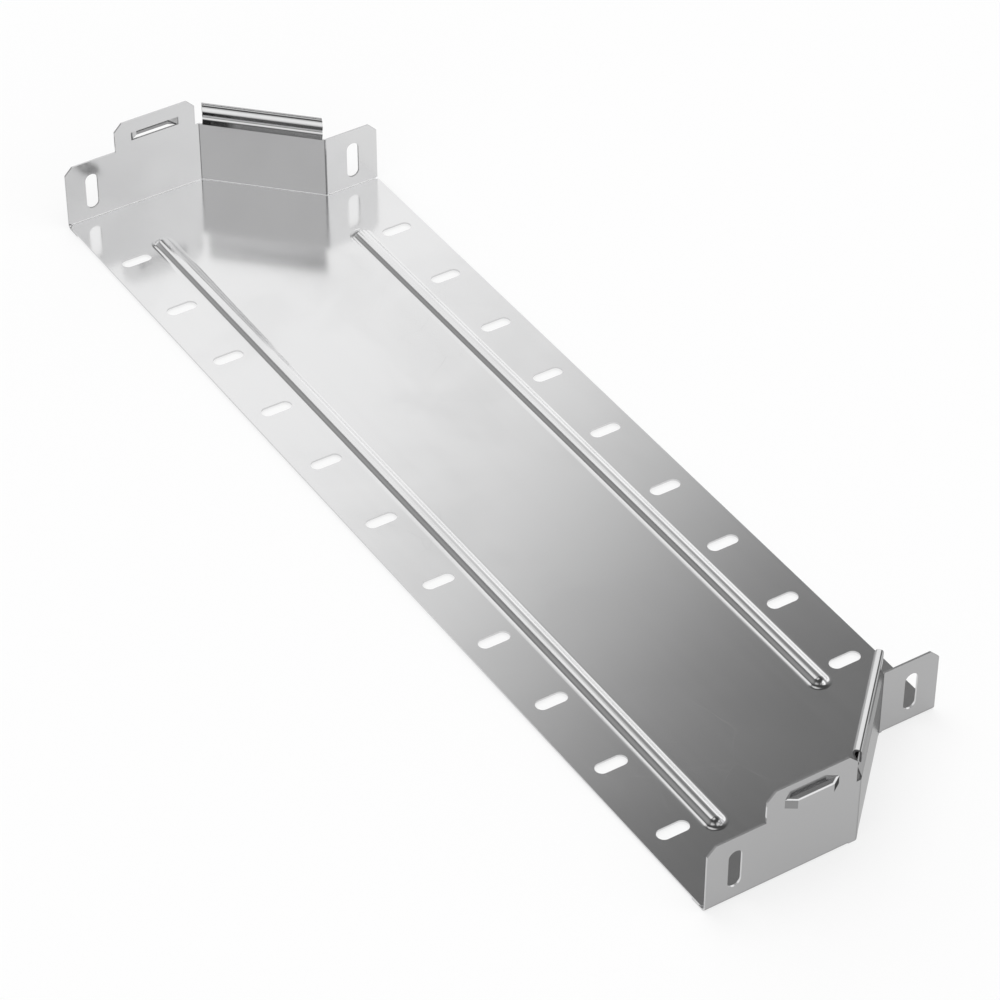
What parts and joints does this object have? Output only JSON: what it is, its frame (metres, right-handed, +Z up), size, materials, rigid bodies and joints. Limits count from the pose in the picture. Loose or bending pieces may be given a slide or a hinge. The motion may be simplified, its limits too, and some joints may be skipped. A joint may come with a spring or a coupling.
{
  "type": "cable tray reducer",
  "caption": "Straight symmetric cable tray reducer with a beaded, slotted floor, folded side walls that slant inwards, and lapping end tabs.",
  "frame": {"origin": "under the middle of the part, at the underside of the bottom flanges", "axes": "+X across the trays, +Y along the run from the wide tray to the narrow one, +Z up"},
  "size_m": [0.6098, 0.164, 0.0555],
  "materials": {
    "floor_sheet": "bright cold rolled stainless sheet",
    "wall_sheet": "bright cold rolled stainless sheet"
  },
  "bodies": {
    "root": {"floor_plate": "floor_sheet", "side_wall_left": "wall_sheet", "side_wall_right": "wall_sheet"}
  },
  "joints": []
}
